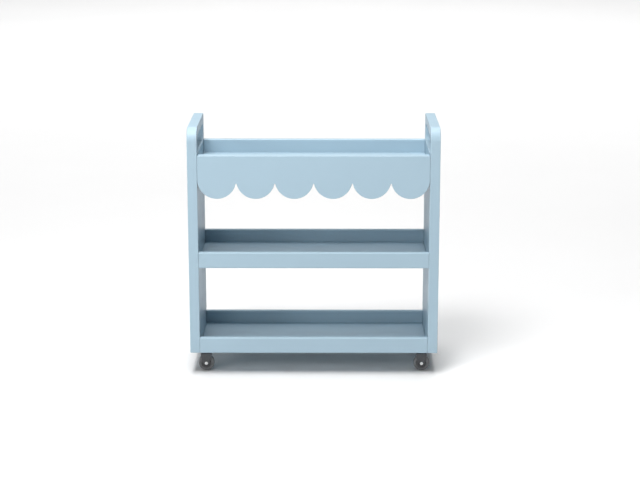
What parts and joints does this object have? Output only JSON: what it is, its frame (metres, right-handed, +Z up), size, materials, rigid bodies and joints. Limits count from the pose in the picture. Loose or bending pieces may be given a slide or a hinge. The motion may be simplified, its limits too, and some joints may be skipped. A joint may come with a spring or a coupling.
{
  "type": "book cart",
  "caption": "Low three-tray book cart with slab side panels, handle openings, a scalloped front board and swivel casters.",
  "frame": {"origin": "on the floor, under the middle of the cart", "axes": "+X along the cart's length from the left panel to the right one, -Y out of the scalloped front, +Z up"},
  "size_m": [0.762, 0.305, 0.771],
  "materials": {
    "panel_paint": "satin pale blue paint on 30 mm board",
    "tray_paint": "satin pale blue paint on 12 to 30 mm board",
    "screw_paint": "pale blue enamel on steel screw heads",
    "zinc": "zinc-plated steel",
    "bright_steel": "bright plated axle head",
    "fork_black": "satin charcoal powder coat",
    "core_grey": "moulded dark grey plastic",
    "tyre_grey": "moulded dark grey rubber"
  },
  "bodies": {
    "frame": {"side_panel_left": "panel_paint", "side_panel_right": "panel_paint", "scalloped_front": "tray_paint", "top_tray_back_board": "tray_paint", "top_tray_floor": "tray_paint", "middle_shelf_front_lip": "tray_paint", "middle_shelf_back_board": "tray_paint", "middle_shelf_floor": "tray_paint", "bottom_shelf_front_lip": "tray_paint", "bottom_shelf_back_board": "tray_paint", "bottom_shelf_floor": "tray_paint", "screw_left_bottom_front": "screw_paint", "screw_left_bottom_back": "screw_paint", "screw_left_middle_front": "screw_paint", "screw_left_middle_back": "screw_paint", "screw_left_top_front": "screw_paint", "screw_left_top_back": "screw_paint", "screw_right_bottom_front": "screw_paint", "screw_right_bottom_back": "screw_paint", "screw_right_middle_front": "screw_paint", "screw_right_middle_back": "screw_paint", "screw_right_top_front": "screw_paint", "screw_right_top_back": "screw_paint", "front_left_threaded_insert": "zinc", "front_left_stem": "zinc", "front_left_swivel_race": "fork_black", "front_right_threaded_insert": "zinc", "front_right_stem": "zinc", "front_right_swivel_race": "fork_black", "rear_left_threaded_insert": "zinc", "rear_left_stem": "zinc", "rear_left_swivel_race": "fork_black", "rear_right_threaded_insert": "zinc", "rear_right_stem": "zinc", "rear_right_swivel_race": "fork_black"},
    "front_left_swivel": {"front_left_fork": "fork_black", "front_left_axle": "bright_steel", "front_left_axle_nut": "zinc"},
    "front_left_wheel": {"front_left_wheel_core": "core_grey", "front_left_tyre": "tyre_grey"},
    "front_right_swivel": {"front_right_fork": "fork_black", "front_right_axle": "bright_steel", "front_right_axle_nut": "zinc"},
    "front_right_wheel": {"front_right_wheel_core": "core_grey", "front_right_tyre": "tyre_grey"},
    "rear_left_swivel": {"rear_left_fork": "fork_black", "rear_left_axle": "bright_steel", "rear_left_axle_nut": "zinc"},
    "rear_left_wheel": {"rear_left_wheel_core": "core_grey", "rear_left_tyre": "tyre_grey"},
    "rear_right_swivel": {"rear_right_fork": "fork_black", "rear_right_axle": "bright_steel", "rear_right_axle_nut": "zinc"},
    "rear_right_wheel": {"rear_right_wheel_core": "core_grey", "rear_right_tyre": "tyre_grey"}
  },
  "joints": [
    {"name": "front_left_caster_swivel", "type": "hinge", "parent": "frame", "child": "front_left_swivel", "pos_m": [-0.335, -0.0985, 0.06], "axis": [0, 0, 1], "continuous": true},
    {"name": "front_left_wheel_spin", "type": "hinge", "parent": "front_left_swivel", "child": "front_left_wheel", "pos_m": [-0.335, -0.0985, 0.0245], "axis": [0, 1, 0], "continuous": true},
    {"name": "front_right_caster_swivel", "type": "hinge", "parent": "frame", "child": "front_right_swivel", "pos_m": [0.335, -0.0985, 0.06], "axis": [0, 0, 1], "continuous": true},
    {"name": "front_right_wheel_spin", "type": "hinge", "parent": "front_right_swivel", "child": "front_right_wheel", "pos_m": [0.335, -0.0985, 0.0245], "axis": [0, 1, 0], "continuous": true},
    {"name": "rear_left_caster_swivel", "type": "hinge", "parent": "frame", "child": "rear_left_swivel", "pos_m": [-0.335, 0.0985, 0.06], "axis": [0, 0, 1], "continuous": true},
    {"name": "rear_left_wheel_spin", "type": "hinge", "parent": "rear_left_swivel", "child": "rear_left_wheel", "pos_m": [-0.335, 0.0985, 0.0245], "axis": [0, 1, 0], "continuous": true},
    {"name": "rear_right_caster_swivel", "type": "hinge", "parent": "frame", "child": "rear_right_swivel", "pos_m": [0.335, 0.0985, 0.06], "axis": [0, 0, 1], "continuous": true},
    {"name": "rear_right_wheel_spin", "type": "hinge", "parent": "rear_right_swivel", "child": "rear_right_wheel", "pos_m": [0.335, 0.0985, 0.0245], "axis": [0, 1, 0], "continuous": true}
  ]
}
